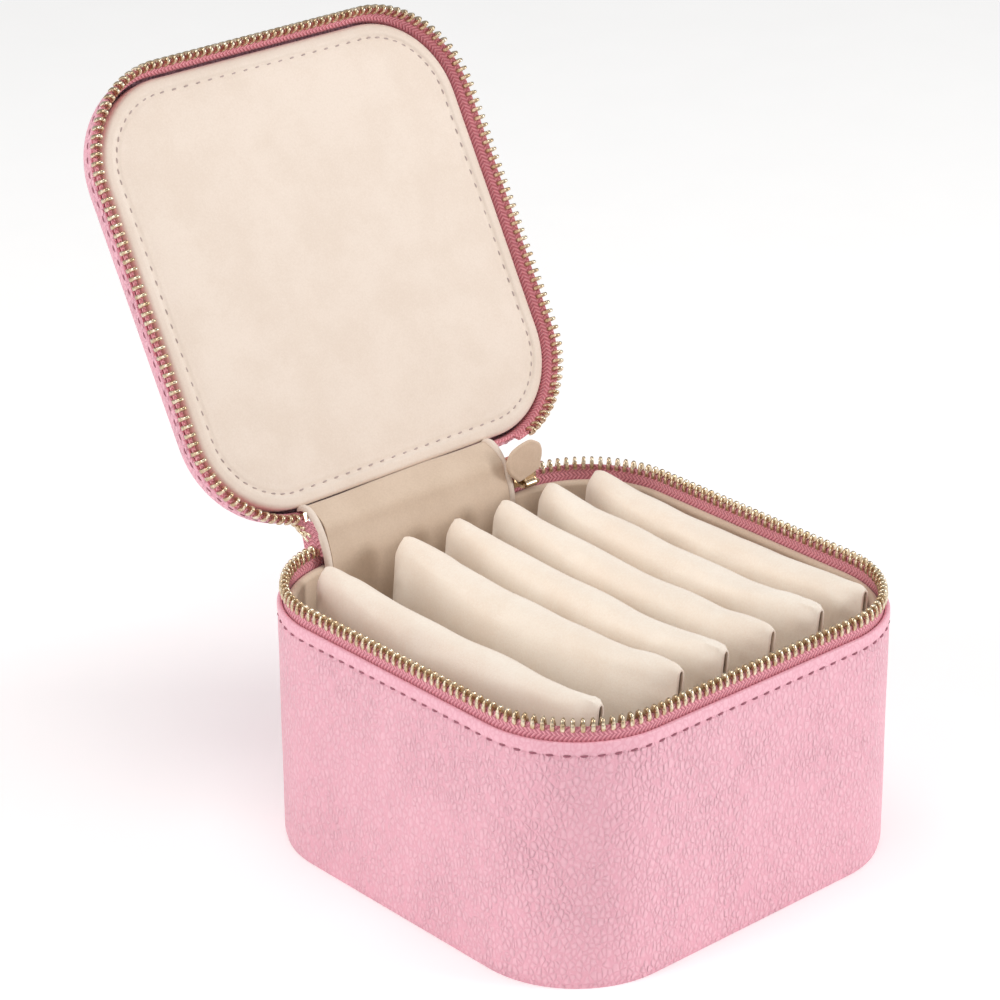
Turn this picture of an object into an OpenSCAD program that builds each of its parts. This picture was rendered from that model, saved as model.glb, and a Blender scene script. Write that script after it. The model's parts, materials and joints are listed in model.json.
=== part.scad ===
// Square zip-round leather jewellery case, standing open, with soft pouches inside.
// Origin: centre of the bottom face. +X right, +Y towards the hinge, +Z up. Millimetres.
// The lid is drawn closed and is then turned about the hinge axis to its open rest.

/* [Case] */
// Width of the case, along X
case_w = 130; // [110:1:180]
// Depth of the case, along Y
case_d = 130; // [110:1:180]
// Height of the base's leather wall
base_h = 69; // [55:1:100]
// Radius of the four upright corners
corner_r = 30; // [26:1:36]
// Height of the lid's leather, from its hem to its top
lid_h = 7; // [6.5:0.5:10]

/* [Walls] */
// Thickness of the leather
leather_t = 1.4; // [1:0.1:1.8]
// Thickness of the board in the walls
board_t = 2.6; // [2:0.1:4]
// Thickness of the microsuede lining
lining_t = 1.0; // [0.6:0.1:1.5]
// Thickness of the bottom board
bottom_board_t = 2.2; // [1.5:0.1:4]
// Thickness of the leather-covered bottom panel
bottom_leather_t = 1.2; // [0.8:0.1:2]
// How far the bottom panel is set in from the wall
bottom_inset = 0.5; // [0.2:0.1:1]
// Thickness of the floor's foam
floor_foam_t = 2; // [1:0.5:4]

/* [Lid] */
// Angle that the lid opens through
open_angle = 119; // [100:1:125]
// How far the hinge axis lies behind the back wall
hinge_back = 1.6; // [1:0.1:3]
// How far the hinge axis lies above the middle of the closed zip
hinge_rise = 2.8; // [2:0.1:4]
// How far the lid's leather is set in from the base's outline
lid_inset = 2.0; // [1.5:0.1:3]
// Radius of the lid's rounded top edge
lid_edge_r = 5; // [4:0.5:6]
// Thickness of the lid's leather
lid_leather_t = 1.2; // [0.8:0.1:1.5]
// Thickness of the lid's board
lid_board_t = 1.8; // [1.2:0.1:2.5]
// How far the lid's pad stands out past the lid's hem
pad_proud = 1.8; // [1:0.1:2.2]
// How far the pad's edge is set in from the case's outline
pad_inset = 5.1; // [5:0.1:6]
// Thickness of the pad's microsuede cover
pad_cover_t = 1.2; // [0.8:0.1:2]

/* [Zip] */
// Thickness of the zip tape
tape_t = 0.8; // [0.5:0.1:1]
// Height of bare tape between the hem and the teeth
tape_show = 2.6; // [2:0.1:4]
// Depth of tape sewn in behind the hem
tape_sewn = 10; // [6:1:14]
// Distance from one tooth to the next along a row
tooth_pitch = 2.4; // [2.2:0.1:3]
// Width of a tooth along the row
tooth_w = 1.0; // [0.8:0.1:1.1]
// Height of a tooth
tooth_h = 3.4; // [3:0.1:4]
// Thickness of a tooth through the tape
tooth_t = 2.6; // [2:0.1:2.8]
// How far the closed rows' tips pass each other
tooth_mesh = 1.2; // [0.8:0.1:1.6]
// How far a tooth's legs grip the tape
tooth_grip = 1.2; // [0.8:0.1:1.6]

/* [Hinge] */
// How far the hinge panel's left edge lies past the start of the left corner
hinge_left_past = 1; // [-4:0.5:2]
// How far the hinge panel's right edge stops short of the right corner
hinge_right_short = 6; // [6:0.5:9]
// Width of the binding strips at the panel's two edges
binding_w = 2.2; // [1.5:0.1:3]
// Thickness of the hinge's lining
hinge_t = 0.8; // [0.6:0.1:1]
// How far the hinge's lining comes down inside the back wall
panel_drop = 20; // [12:1:40]

/* [Slider and pull] */
// How far the slider's middle lies short of the right corner's start
slider_short = 0.5; // [0:0.1:0.5]
// Length of the slider along the zip
slider_l = 8; // [6:0.5:8]
// Length of bare tape between the slider and the last teeth
bare_end = 4; // [2:0.5:8]
// Height of the slider across both rows
slider_h = 6.8; // [6.6:0.1:7]
// Thickness of each of the slider's plates
slider_plate_t = 1.0; // [0.8:0.1:1]
// Diameter of the bar that the pull hangs on
bail_d = 1.1; // [1:0.1:1.2]
// Running clearance of the pull's eye around the bar, on the radius
eye_gap = 0.1; // [0.05:0.05:0.1]
// Width of the pull tab near its free end
tab_w = 13; // [11:0.5:14]
// Width of the pull tab at the link
tab_foot_w = 9; // [6:0.5:10]
// Length of the pull tab
tab_l = 9.8; // [8:0.1:11]
// Lean of the standing pull, outwards over the slider
pull_lean = 8; // [6:1:9]
// Thickness of the pull tab
tab_t = 1.2; // [1:0.1:1.2]

/* [Pouches] */
// Thickness of a pouch at its middle
pouch_t = 14; // [12:0.5:14.5]
// Share of the free width that lies between the first and second pouches
first_space_share = 0.4; // [0.3:0.05:0.4]
// Lean of the pouches to the right
pouch_lean = 5; // [3:1:6]
// Gap between a pouch's ends and the lining at the hinge end
pouch_back_gap = 9; // [9:0.5:12]
// Gap between a pouch's ends and the lining at the front
pouch_front_gap = 10; // [6:0.5:14]
// Gap between the pouches' ridges and the closed lid's pad
pouch_top_gap = 3; // [2.5:0.5:6]
// Thickness of a pouch's flap
flap_t = 0.8; // [0.6:0.1:0.9]
// How far a flap comes down over its pouch
flap_drop = 30; // [20:1:40]

/* [Stitching] */
// Distance from one stitch to the next
stitch_pitch = 4; // [3:0.5:5]
// Length of a stitch
stitch_l = 2.2; // [1.5:0.1:2.5]
// Thickness of the thread
thread_d = 0.6; // [0.4:0.1:0.8]
// Distance of the hem's stitch line from the hem's edge
stitch_drop = 3.5; // [3:0.1:4]
// Distance of the pad's stitch line from the pad's edge
pad_stitch_in = 4.6; // [3:0.1:6]

/* [Hidden] */
$fn = 64;

// Colours of the leather, the tape, the thread, the microsuede, the metal and the board
pink_leather = [0.95, 0.72, 0.77];
tape_pink = [0.86, 0.50, 0.52];
thread_mauve = [0.60, 0.33, 0.39];
cream_suede = [0.93, 0.86, 0.80];
beige_suede = [0.86, 0.76, 0.66];
gold_metal = [0.83, 0.70, 0.48];
board_grey = [0.62, 0.60, 0.57];
foam_white = [0.92, 0.91, 0.88];

// A cut reaches this far past the faces that it goes through
past = 1;
// Two pieces that only lie against each other are kept this far apart
near = 0.1;

// Insets of the wall's layers from the case's outline, outside to inside
board_inset = leather_t;
lining_inset = leather_t + board_t;
cavity_inset = lining_inset + lining_t;
// The zip's middle line runs just inside the leather
zip_inset = leather_t + near + tape_t / 2;
tape_out = zip_inset - tape_t / 2;
tape_in = zip_inset + tape_t / 2;

// Heights in the base
bottom_board_z = bottom_leather_t;
floor_z = bottom_leather_t + bottom_board_t;
floor_top = floor_z + floor_foam_t + lining_t;
board_top = base_h - 1;
roll_r = 1.3;
roll_z = base_h - roll_r - 0.2;
tape_bottom = base_h - tape_sewn;
tape_top = base_h + tape_show + tooth_grip;
tooth_z = base_h + tape_show;
tip_z = tooth_z + tooth_h;

// The closed zip's middle, and the lid's heights while it is closed
zip_mid = tip_z - tooth_mesh / 2;
lid_hem_z = 2 * zip_mid - base_h;
lid_top = lid_hem_z + lid_h;
lid_under_leather = lid_top - lid_leather_t;
lid_board_z = lid_under_leather - lid_board_t;
pad_z = lid_hem_z - pad_proud;
foam_z = pad_z + pad_cover_t;
lid_tape_in = lid_inset + lid_leather_t + near + tape_t;
lid_inner_inset = max(lid_tape_in + hinge_t + 2 * near, pad_inset);
// The tape and the hinge's leather are sewn in up to where the lid's edge rounds over
lid_sewn_z = lid_top - lid_edge_r + 0.4;

// Hinge axis
hinge_y = case_d / 2 + hinge_back;
hinge_z = zip_mid + hinge_rise;

// The outline's straight halves, and the length of a closed line at a given inset
half_x = case_w / 2 - corner_r;
half_y = case_d / 2 - corner_r;
function quarter(inset) = (corner_r - inset) * PI / 2;
function round_length(inset) = 4 * half_x + 4 * half_y + 4 * quarter(inset);

// Place and outward direction at a distance along the outline, from the middle of the
// back, anticlockwise seen from above: [x, y, angle]
function outline(inset, s) =
    let (
        rad = corner_r - inset,
        q = quarter(inset),
        s1 = half_x,
        s2 = s1 + q,
        s3 = s2 + 2 * half_y,
        s4 = s3 + q,
        s5 = s4 + 2 * half_x,
        s6 = s5 + q,
        s7 = s6 + 2 * half_y,
        s8 = s7 + q
    )
    s < s1 ? [-s, half_y + rad, 90]
    : s < s2 ? on_corner(-half_x, half_y, rad, 90 + (s - s1) / q * 90)
    : s < s3 ? [-half_x - rad, half_y - (s - s2), 180]
    : s < s4 ? on_corner(-half_x, -half_y, rad, 180 + (s - s3) / q * 90)
    : s < s5 ? [-half_x + (s - s4), -half_y - rad, 270]
    : s < s6 ? on_corner(half_x, -half_y, rad, 270 + (s - s5) / q * 90)
    : s < s7 ? [half_x + rad, -half_y + (s - s6), 0]
    : s < s8 ? on_corner(half_x, half_y, rad, (s - s7) / q * 90)
    : [half_x - (s - s8), half_y + rad, 90];
function on_corner(x, y, rad, a) = [x + rad * cos(a), y + rad * sin(a), a];

// Puts its children at that place, with their +X outwards and +Y along the outline
module around(inset, s) {
    p = outline(inset, s);
    translate([p.x, p.y, 0])
        rotate(p[2])
            children();
}

// The case's outline, set in, as a flat shape
module plan(inset) {
    r = corner_r - inset;
    square([case_w - 2 * inset, 2 * half_y], center = true);
    square([2 * half_x, case_d - 2 * inset], center = true);
    for (x = [-half_x, half_x], y = [-half_y, half_y])
        translate([x, y])
            circle(r);
}

module slab(inset, z0, z1) {
    translate([0, 0, z0])
        linear_extrude(z1 - z0)
            plan(inset);
}

// An upright ring between two insets
module wall(outer, inner, z0, z1) {
    difference() {
        slab(outer, z0, z1);
        slab(inner, z0 - past, z1 + past);
    }
}

// Carries a flat profile all round the case: its x is the inset, its y the height
module rim() {
    for (k = [0:3])
        rotate(k * 90) {
            long = k % 2 == 0 ? half_y : half_x;
            away = k % 2 == 0 ? half_x : half_y;
            translate([away, long, 0])
                rotate_extrude(angle = 90)
                    translate([corner_r, 0])
                        mirror([1, 0])
                            children();
            translate([away + corner_r, long, 0])
                rotate([90, 0, 0])
                    linear_extrude(2 * long)
                        mirror([1, 0])
                            children();
        }
}

// Turns what is drawn closed to the lid's open rest
module opened() {
    translate([0, hinge_y, hinge_z])
        rotate([-open_angle, 0, 0])
            translate([0, -hinge_y, -hinge_z])
                children();
}

function open_yz(p) =
    let (
        y = p.x - hinge_y,
        z = p.y - hinge_z
    )
    [
        hinge_y + y * cos(open_angle) + z * sin(open_angle),
        hinge_z - y * sin(open_angle) + z * cos(open_angle)
    ];

// Cut that leaves a ring open across the hinge, from x0 to x1
module hinge_cut(x0, x1, z0, z1) {
    translate([x0, case_d / 2 - corner_r / 2, z0])
        cube([x1 - x0, corner_r, z1 - z0]);
}

// ---- Base ----

module base_bottom_leather()
    color(pink_leather)
        slab(bottom_inset, 0, bottom_leather_t);

module base_bottom_board()
    color(board_grey)
        slab(board_inset, bottom_board_z, floor_z);

// Leather wall with a rounded top edge and a sunk stitch line
module base_leather()
    color(pink_leather)
        rim()
            difference() {
                union() {
                    translate([0, bottom_leather_t])
                        square([leather_t, base_h - leather_t / 2 - bottom_leather_t]);
                    translate([leather_t / 2, base_h - leather_t / 2])
                        circle(leather_t / 2);
                }
                translate([-past, base_h - stitch_drop - thread_d])
                    square([past + thread_d + near, 2 * thread_d]);
            }

// Board ring, rebated outside for the zip tape and the hinge leather
module base_wall_board()
    color(board_grey)
        difference() {
            wall(board_inset, lining_inset, floor_z, board_top);
            wall(board_inset - past, tape_in + near, tape_bottom - near, base_h + past);
        }

// Lining of the walls, with a rolled top edge over the board
module base_wall_lining()
    color(beige_suede)
        rim() {
            translate([lining_inset, floor_z])
                square([lining_t, roll_z - floor_z]);
            intersection() {
                translate([cavity_inset - roll_r, roll_z])
                    circle(roll_r);
                translate([tape_in + 2 * near, board_top])
                    square([2 * roll_r, 2 * roll_r]);
            }
            intersection() {
                translate([cavity_inset - roll_r, roll_z])
                    circle(roll_r);
                translate([lining_inset, roll_z])
                    square([2 * roll_r, 2 * roll_r]);
            }
        }

module base_floor_foam()
    color(foam_white)
        slab(cavity_inset + near, floor_z, floor_z + floor_foam_t);

module base_floor_lining()
    color(beige_suede)
        slab(cavity_inset + near, floor_z + floor_foam_t, floor_top);

// ---- Zip ----

// Start and end of the zip along its own line
zip_length = round_length(zip_inset);
hinge_left = half_x + hinge_left_past;
hinge_right = half_x - hinge_right_short;
slider_at = half_x - slider_short;
zip_begin = hinge_left + binding_w / 2;
teeth_end = zip_length - slider_at - slider_l / 2 - bare_end;
first_tooth = zip_begin + tooth_pitch;
stop_at = zip_begin + 2 * near + tooth_w / 2;

module base_zip_tape()
    color(tape_pink)
        difference() {
            rim()
                translate([tape_out, tape_bottom])
                    square([tape_t, tape_top - tape_bottom]);
            hinge_cut(-hinge_left, hinge_right, tape_bottom - past, tape_top + past);
        }

// A tooth standing up from height 0: legs that grip the tape, and a head
shoulder_share = 0.66;
nose_share = 0.45;
module tooth() {
    half = tooth_t / 2;
    shoulder = tooth_h * shoulder_share;
    nose = half * nose_share;
    slot = tape_t / 2 + near / 2;
    rotate([90, 0, 0])
        linear_extrude(tooth_w, center = true)
            polygon([
                [-half, 0], [-half, shoulder], [-nose, tooth_h],
                [nose, tooth_h], [half, shoulder], [half, 0],
                [slot, 0], [slot, tooth_grip + near / 2],
                [-slot, tooth_grip + near / 2], [-slot, 0]
            ]);
}

module base_zip_teeth()
    color(gold_metal)
        for (s = [first_tooth:tooth_pitch:teeth_end])
            around(zip_inset, s)
                translate([0, 0, tooth_z])
                    tooth();

// Crimped metal stop over the tape's edge, standing up from height 0
stop_over = 0.8;
module end_stop()
    difference() {
        translate([-tooth_t / 2, -tooth_w / 2, 0])
            cube([tooth_t, tooth_w, tooth_grip + stop_over]);
        translate([-tape_t / 2 - near / 2, -tooth_w, -past])
            cube([tape_t + near, 2 * tooth_w, past + tooth_grip + near / 2]);
    }

// The stops close the rows' left ends
module base_end_stop()
    color(gold_metal)
        around(zip_inset, stop_at)
            translate([0, 0, tooth_z])
                end_stop();

module lid_end_stop()
    color(gold_metal)
        opened()
            around(zip_inset, stop_at)
                translate([0, 0, 2 * zip_mid - tooth_z])
                    mirror([0, 0, 1])
                        end_stop();

// The lid's tape leans in from the row to the lid's smaller hem
module lid_zip_tape() {
    grip_z = 2 * zip_mid - tape_top;
    bare_z = 2 * zip_mid - tooth_z;
    lean = lid_tape_in - tape_in;
    color(tape_pink)
        opened()
            difference() {
                rim()
                    polygon([
                        [tape_out, grip_z], [tape_in, grip_z],
                        [tape_in, bare_z], [tape_in + lean, lid_hem_z],
                        [tape_in + lean, lid_sewn_z], [tape_out + lean, lid_sewn_z],
                        [tape_out + lean, lid_hem_z], [tape_out, bare_z]
                    ]);
                hinge_cut(-hinge_left, hinge_right, pad_z - past, lid_top);
                hinge_cut(-hinge_left, slider_at + slider_l / 2 + 1, 0, lid_hem_z - near);
            }
}

module lid_zip_teeth()
    color(gold_metal)
        opened()
            for (s = [first_tooth + tooth_pitch / 2:tooth_pitch:teeth_end])
                around(zip_inset, s)
                    translate([0, 0, 2 * zip_mid - tooth_z])
                        mirror([0, 0, 1])
                            tooth();

// ---- Lid ----

// Quarter-round edge of the lid, between the outer radius and one leather inside it
module lid_edge() {
    top_in = lid_inset + lid_edge_r;
    side_top = lid_top - lid_edge_r;
    intersection() {
        difference() {
            translate([top_in, side_top])
                circle(lid_edge_r);
            translate([top_in, side_top])
                circle(lid_edge_r - lid_leather_t);
        }
        translate([lid_inset - past, side_top])
            square([lid_edge_r + past, lid_edge_r + past]);
    }
    translate([lid_inset, lid_hem_z])
        square([lid_leather_t, side_top - lid_hem_z]);
}

module lid_leather()
    color(pink_leather)
        opened() {
            rim()
                lid_edge();
            slab(lid_inset + lid_edge_r, lid_under_leather, lid_top);
        }

// The board lies under the leather's top, inside the rounded edge
module lid_board()
    color(board_grey)
        opened()
            slab(lid_inset + lid_edge_r, lid_board_z, lid_under_leather);

module lid_foam()
    color(foam_white)
        opened()
            slab(lid_inset + lid_edge_r, foam_z, lid_board_z);

// Microsuede cover of the pad: a shallow tray over the foam
module lid_lining()
    color(cream_suede)
        opened()
            difference() {
                slab(lid_inner_inset, pad_z, lid_board_z);
                slab(lid_inset + lid_edge_r, foam_z, lid_board_z + past);
            }

// ---- Stitching ----

// One stitch along +Y
module stitch(length)
    rotate([90, 0, 0])
        cylinder(d = thread_d, h = length, center = true);

module base_stitching()
    color(thread_mauve)
        for (s = [stitch_pitch / 2:stitch_pitch:round_length(0) - stitch_pitch / 2])
            around(thread_d / 2 + near / 2, s)
                translate([0, 0, base_h - stitch_drop])
                    stitch(stitch_l);

// The lid's hem stitches lie on its leather, close above the hem
// Height of the lid's stitch line above its hem
lid_stitch_up = 1.2;
module lid_stitching()
    color(thread_mauve)
        opened()
            for (s = [stitch_pitch / 2:stitch_pitch:round_length(lid_inset) - stitch_pitch / 2])
                around(lid_inset - thread_d / 2 - near / 2, s)
                    translate([0, 0, lid_hem_z + lid_stitch_up])
                        stitch(stitch_l);

module lid_pad_stitching() {
    inset = lid_inner_inset + pad_stitch_in;
    color(thread_mauve)
        opened()
            for (s = [stitch_pitch / 2:stitch_pitch:round_length(inset) - stitch_pitch / 2])
                around(inset, s)
                    translate([0, 0, pad_z - thread_d / 2 - near / 2])
                        stitch(stitch_l);
}

// ---- Hinge ----

// A strip of even thickness along points in the Y-Z plane
function along(p, i) =
    let (
        a = p[max(i - 1, 0)],
        b = p[min(i + 1, len(p) - 1)],
        d = b - a
    )
    d / norm(d);
function beside(p, t) = [for (i = [0:len(p) - 1]) p[i] + t * [-along(p, i).y, along(p, i).x]];
function reversed(p) = [for (i = [len(p) - 1:-1:0]) p[i]];
module strip(p, t, x0, x1)
    translate([x0, 0, 0])
        rotate([90, 0, 90])
            linear_extrude(x1 - x0)
                polygon(concat(p, reversed(beside(p, t))));

// Cubic curve through a, pulled towards b and c, ending at d
curve_steps = 10;
function curve(a, b, c, d) = [
    for (i = [0:curve_steps])
        let (
            t = i / curve_steps,
            u = 1 - t
        )
        u * u * u * a + 3 * u * u * t * b + 3 * u * t * t * c + t * t * t * d
];

// How hard the curves set off from the base and the lid
hinge_pull = 5;
// Outer strip: sewn behind the base's hem like the tape, over to the lid's hem
lid_tape_y = case_d / 2 - (lid_tape_in - tape_t);
hinge_leather_line = concat(
    [[case_d / 2 - tape_out, tape_bottom]],
    curve(
        [case_d / 2 - tape_out, base_h],
        [case_d / 2 - tape_out, base_h + hinge_pull],
        open_yz([lid_tape_y, lid_hem_z - hinge_pull]),
        open_yz([lid_tape_y, lid_hem_z])
    ),
    [open_yz([lid_tape_y, lid_sewn_z])]
);
// Inner panel: from the foot of the back lining, over its roll, to the pad's lower edge
panel_y = case_d / 2 - cavity_inset - near;
panel_bend_drop = 0.5;
panel_lid_y = case_d / 2 - lid_inner_inset + near + hinge_t;
hinge_lining_line = concat(
    [[panel_y, base_h - panel_drop], [panel_y, base_h - panel_drop / 5]],
    curve(
        [panel_y, base_h - panel_bend_drop],
        [panel_y, base_h + hinge_pull],
        open_yz([panel_lid_y, pad_z - hinge_pull]),
        open_yz([panel_lid_y, pad_z])
    ),
    [open_yz([panel_lid_y, lid_hem_z])]
);

module hinge_leather()
    color(pink_leather)
        strip(hinge_leather_line, tape_t, -hinge_left + near, hinge_right - near);

module hinge_lining()
    color(beige_suede)
        strip(hinge_lining_line, hinge_t, -hinge_left + binding_w / 2, hinge_right - binding_w / 2);

// A folded binding is a little thicker than the panel
binding_t = hinge_t * 1.2;
module binding(x)
    color(cream_suede)
        strip(
            [for (i = [1:len(hinge_lining_line) - 3]) hinge_lining_line[i]],
            binding_t,
            x - binding_w / 2 + near,
            x + binding_w / 2 - near
        );
module hinge_binding_left() binding(-hinge_left);
module hinge_binding_right() binding(hinge_right);

// ---- Slider and pull ----

// Chamber around the teeth, and the slots that the tapes run through
tooth_gap = 0.7;
tape_gap = 0.6;
chamber = tooth_t / 2 + tooth_gap;
tape_slot = tape_t / 2 + tape_gap;
slider_z = zip_mid - slider_h / 2;
chamber_top = tip_z + 2 * near;
slider_out = chamber + slider_plate_t;
// The bridge between the plates, at the slider's front end
bridge_l = 2.5;
slider_flange_t = 0.4;
bail_reach = 1.7;
bail_l = 6.4;
bar_up = 1;
bar_z = slider_z + bar_up;
bar_x = -slider_out - bail_reach;

// In the slider's own frame: +X outwards, +Y along the zip towards the hinge
module at_slider()
    around(zip_inset, zip_length - slider_at)
        children();

module slider_body()
    color(gold_metal)
        at_slider()
            difference() {
                translate([-slider_out, -slider_l / 2, slider_z])
                    cube([2 * slider_out, slider_l, slider_h]);
                translate([-chamber, -slider_l / 2 - past, slider_z + slider_flange_t])
                    cube([2 * chamber, slider_l + 2 * past, chamber_top - slider_z - slider_flange_t]);
                translate([-tape_slot, -slider_l / 2 - past, slider_z - past])
                    cube([2 * tape_slot, slider_l + 2 * past, chamber_top - slider_z + past]);
                translate([-tape_slot, -slider_l / 2 + bridge_l, slider_z])
                    cube([2 * tape_slot, slider_l, slider_h + past]);
            }

// Bail on the slider's inner plate: a round bar along the zip on two posts
module slider_bail()
    color(gold_metal)
        at_slider() {
            translate([bar_x, 0, bar_z])
                rotate([90, 0, 0])
                    cylinder(d = bail_d, h = bail_l, center = true);
            for (y = [-bail_l / 2, bail_l / 2 - bail_d])
                translate([bar_x - bail_d / 2, y, bar_z - bail_d / 2])
                    cube([bail_reach + bail_d / 2, bail_d, bail_d]);
        }

// The link's eye, its strap and the tongue in the tab, and the tab's corner radius
eye_r = bail_d / 2 + eye_gap;
eye_l = 3.6;
link_t = 0.5;
tongue_l = 2.6;
tab_nose_r = 4.5;

// The pull's own frame: the bar's middle, with the pull standing up along +Z
module at_pull()
    at_slider()
        translate([bar_x, 0, bar_z])
            rotate([0, pull_lean, 0])
                children();

// Metal link: an eye around the bar, with a tongue held in the tab
module pull_link()
    color(gold_metal)
        at_pull()
            difference() {
                union() {
                    rotate([90, 0, 0])
                        cylinder(r = eye_r + link_t, h = eye_l, center = true);
                    translate([-link_t / 2, -eye_l / 2, 0])
                        cube([link_t, eye_l, eye_r + link_t + tongue_l]);
                }
                rotate([90, 0, 0])
                    cylinder(r = eye_r, h = eye_l + 2 * past, center = true);
            }

// Microsuede tab: narrow at the link, wide and rounded at its free end
module pull_tab() {
    foot = eye_r + link_t + near;
    color(cream_suede)
        at_pull()
            difference() {
                rotate([90, 0, 90])
                    linear_extrude(tab_t, center = true)
                        hull() {
                            translate([-tab_foot_w / 2, foot])
                                square([tab_foot_w, 1]);
                            for (x = [-tab_w / 2 + tab_nose_r, tab_w / 2 - tab_nose_r])
                                translate([x, foot + tab_l - tab_nose_r])
                                    circle(tab_nose_r);
                        }
                translate([-link_t / 2 - near / 2, -eye_l / 2 - near / 2, foot - past])
                    cube([link_t + near, eye_l + near, past + tongue_l]);
            }
}

// ---- Pouches ----

pouch_z0 = floor_top + near;
pouch_top = pad_z - pouch_top_gap;
pouch_y0 = -case_d / 2 + cavity_inset + pouch_front_gap;
pouch_y1 = case_d / 2 - cavity_inset - pouch_back_gap;
pouch_l = pouch_y1 - pouch_y0;
pouch_h = (pouch_top - pouch_z0) / cos(pouch_lean);
// Half thickness of a pouch's body, at its top seam, and at its end seams
body_half = pouch_t / 2 - flap_t;
seam_half = 1.2;
// The leaning pouches share out the width that they leave free: a wide first space,
// four even ones, and one at each side
pouch_shift = (pouch_top - pouch_z0) * tan(pouch_lean);
pouch_count = 6;
free_w = case_w - 2 * cavity_inset - pouch_count * pouch_t - pouch_shift;
even_share = 1 / 12;
first_space = free_w * first_space_share;
even_space = free_w * even_share;
side_space = (free_w - first_space - (pouch_count - 2) * even_space) / 2;
pouch_1_x = -case_w / 2 + cavity_inset + side_space + pouch_shift + pouch_t / 2;
function pouch_x(i) =
    i == 1 ? pouch_1_x : pouch_1_x + first_space - even_space + (i - 1) * (pouch_t + even_space);

// Radius of an arc of the given length that rises from the seams to the middle
function bulge_r(length, rise) = (length * length / 4 + rise * rise) / (2 * rise);

// A flat lens along Y, centred, with blunt ends of the seam's thickness
module lens(length, half) {
    rise = half - seam_half;
    r = bulge_r(length, rise);
    intersection() {
        translate([r - half, 0])
            circle(r, $fn = 200);
        translate([half - r, 0])
            circle(r, $fn = 200);
        square([2 * half, length], center = true);
    }
}

// A cushion shape standing on its long edge, upright, foot at height 0, ridge along Y
module cushion(height, length, half) {
    intersection() {
        linear_extrude(height)
            lens(length, half);
        translate([0, length / 2, height / 2])
            rotate([90, 0, 0])
                linear_extrude(length)
                    lens(height, half);
    }
}

// Leans a pouch about its foot and puts it in its place, by the place of its ridge
module at_pouch(i)
    translate([
        pouch_x(i) - pouch_shift,
        (pouch_y0 + pouch_y1) / 2,
        pouch_z0 + seam_half * sin(pouch_lean)
    ])
        rotate([0, pouch_lean, 0])
            children();

// Height of a pouch's bag, which leaves room for the flap over its ridge
bag_h = pouch_h - flap_t - 2 * near;
// The flap is this much shorter than its bag, and lies this close to it
flap_l = pouch_l - 2 * near;
flap_seat = 0.02;

module bag(i)
    color(cream_suede)
        at_pouch(i)
            cushion(bag_h, pouch_l, body_half);

// Flap: a skin over the bag's ridge and part of both its sides
flap_right_drop = flap_drop / 3;
flap_ridge_half = 2;
module flap(i)
    color(cream_suede)
        at_pouch(i)
            difference() {
                translate([0, 0, -flap_t])
                    cushion(bag_h + 2 * flap_t, flap_l, body_half + flap_t);
                cushion(bag_h, pouch_l + past, body_half + flap_seat);
                translate([-pouch_t, -pouch_l, -past])
                    cube([2 * pouch_t, 2 * pouch_l, bag_h - flap_drop + past]);
                translate([flap_ridge_half, -pouch_l, -past])
                    cube([pouch_t, 2 * pouch_l, bag_h - flap_right_drop + past]);
            }

// Snap: a flat cap that sits on the flap's curved outside, low on its middle
snap_d = 6;
snap_up = 7;
module snap(i)
    color(gold_metal)
        at_pouch(i)
            difference() {
                translate([-body_half - flap_t, 0, bag_h - flap_drop + snap_up])
                    rotate([0, 90, 0])
                        cylinder(d = snap_d, h = body_half);
                translate([0, 0, -flap_t])
                    cushion(bag_h + 2 * flap_t, flap_l, body_half + flap_t + near);
            }

module pouch_1_bag() bag(1);
module pouch_2_bag() bag(2);
module pouch_3_bag() bag(3);
module pouch_4_bag() bag(4);
module pouch_5_bag() bag(5);
module pouch_6_bag() bag(6);
module pouch_1_flap() flap(1);
module pouch_2_flap() flap(2);
module pouch_3_flap() flap(3);
module pouch_4_flap() flap(4);
module pouch_5_flap() flap(5);
module pouch_6_flap() flap(6);
module pouch_1_snap() snap(1);
module pouch_2_snap() snap(2);
module pouch_3_snap() snap(3);
module pouch_4_snap() snap(4);
module pouch_5_snap() snap(5);
module pouch_6_snap() snap(6);

base_bottom_leather();
base_bottom_board();
base_leather();
base_wall_board();
base_wall_lining();
base_floor_foam();
base_floor_lining();
base_zip_tape();
base_zip_teeth();
base_stitching();
base_end_stop();
lid_end_stop();
hinge_leather();
hinge_lining();
hinge_binding_left();
hinge_binding_right();
lid_leather();
lid_board();
lid_foam();
lid_lining();
lid_zip_tape();
lid_zip_teeth();
lid_stitching();
lid_pad_stitching();
slider_body();
slider_bail();
pull_link();
pull_tab();
pouch_1_bag();
pouch_2_bag();
pouch_3_bag();
pouch_4_bag();
pouch_5_bag();
pouch_6_bag();
pouch_1_flap();
pouch_2_flap();
pouch_3_flap();
pouch_4_flap();
pouch_5_flap();
pouch_6_flap();
pouch_1_snap();
pouch_2_snap();
pouch_3_snap();
pouch_4_snap();
pouch_5_snap();
pouch_6_snap();
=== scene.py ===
import json
import math

import bpy
import numpy as np
from mathutils import Matrix, Vector, noise


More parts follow.
